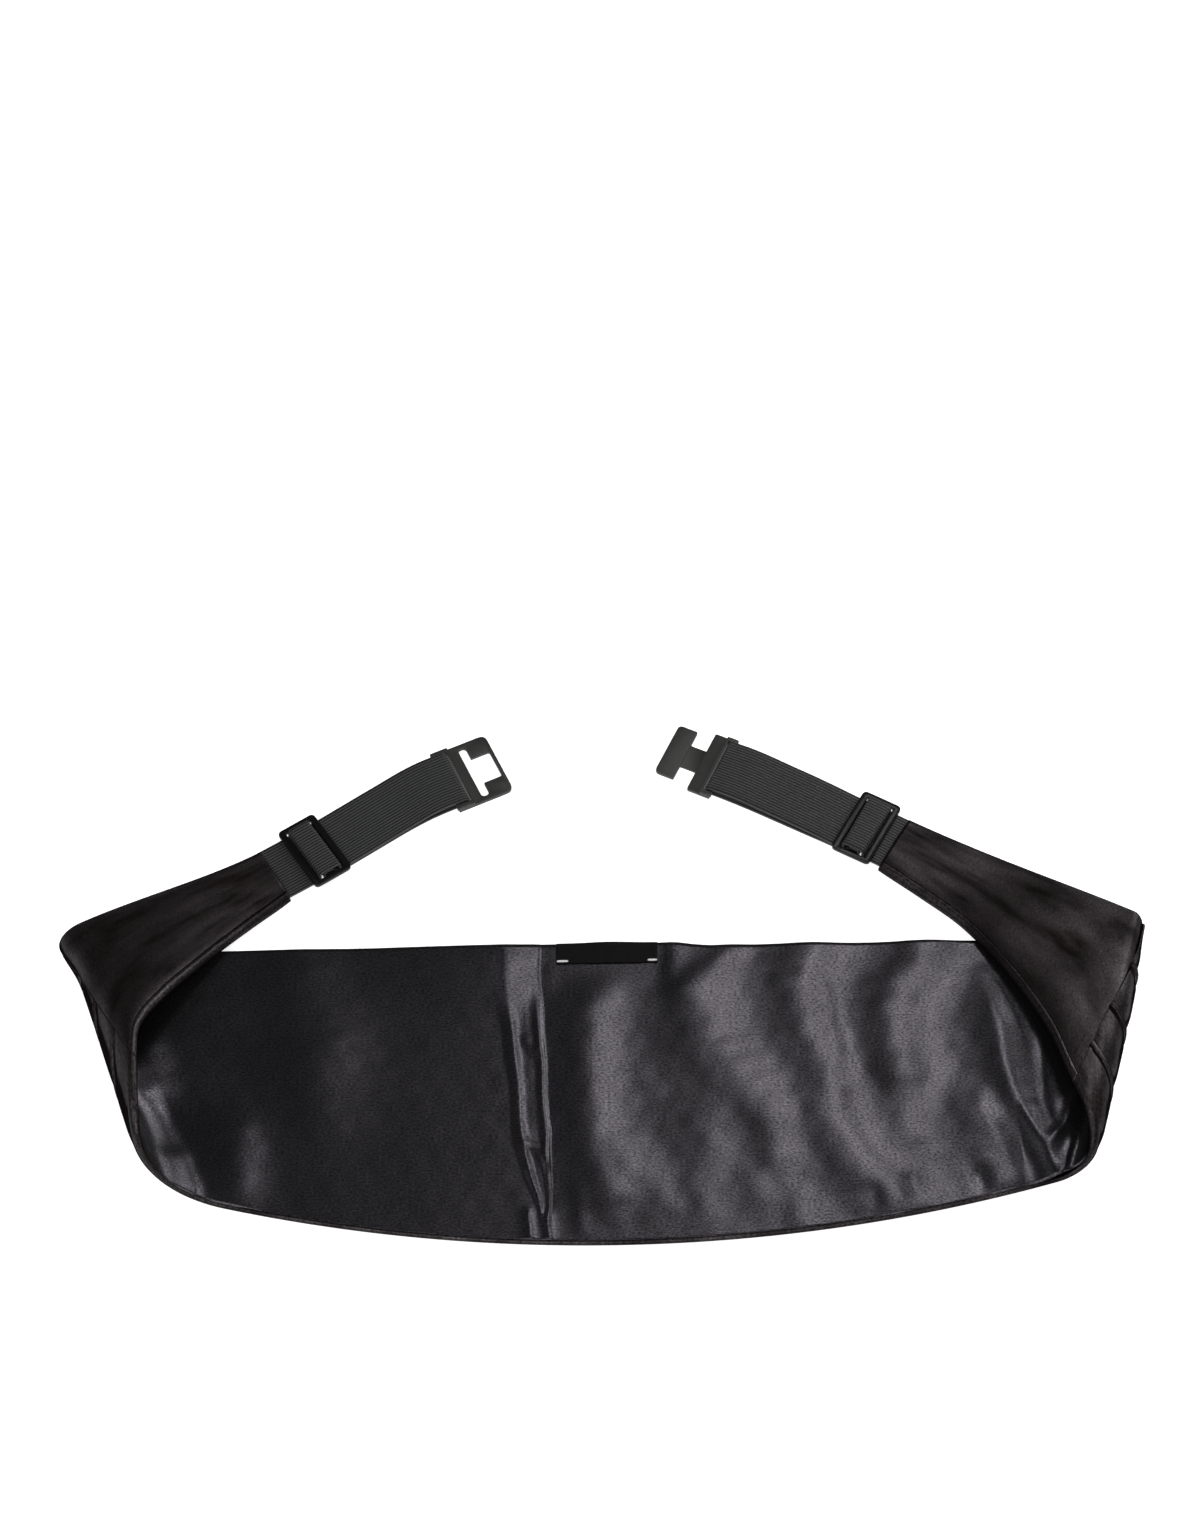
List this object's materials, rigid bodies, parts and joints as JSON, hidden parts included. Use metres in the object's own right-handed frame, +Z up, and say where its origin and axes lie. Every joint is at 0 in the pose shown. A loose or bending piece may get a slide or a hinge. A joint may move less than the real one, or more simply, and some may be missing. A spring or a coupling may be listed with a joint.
{
  "type": "cummerbund",
  "caption": "Satin cummerbund lying lining up on its pleated front, tapered wings folded over it, elastic straps with slides, T-shaped hook and slotted plate.",
  "frame": {"origin": "middle of the bounding box's underside, on the surface that the pleated front lies on", "axes": "+X along the panel towards the wing with the T-shaped hook, +Y from the curved hem towards the straight top edge and the hooks, +Z up out of the surface"},
  "size_m": [0.4278, 0.233, 0.034],
  "materials": {
    "shell_satin": "satin",
    "lining_satin": "satin",
    "label_cloth": "matte",
    "elastic": "ribbed matte",
    "slide_plastic": "gloss",
    "hook_plastic": "matte"
  },
  "bodies": {
    "root": {"front_panel": "shell_satin", "lining": "lining_satin", "label": "label_cloth", "wing_left": "shell_satin", "wing_right": "shell_satin", "strap_left": "elastic", "strap_right": "elastic", "slide_left": "slide_plastic", "slide_right": "slide_plastic", "slot_plate": "hook_plastic", "t_hook": "hook_plastic"}
  },
  "joints": []
}
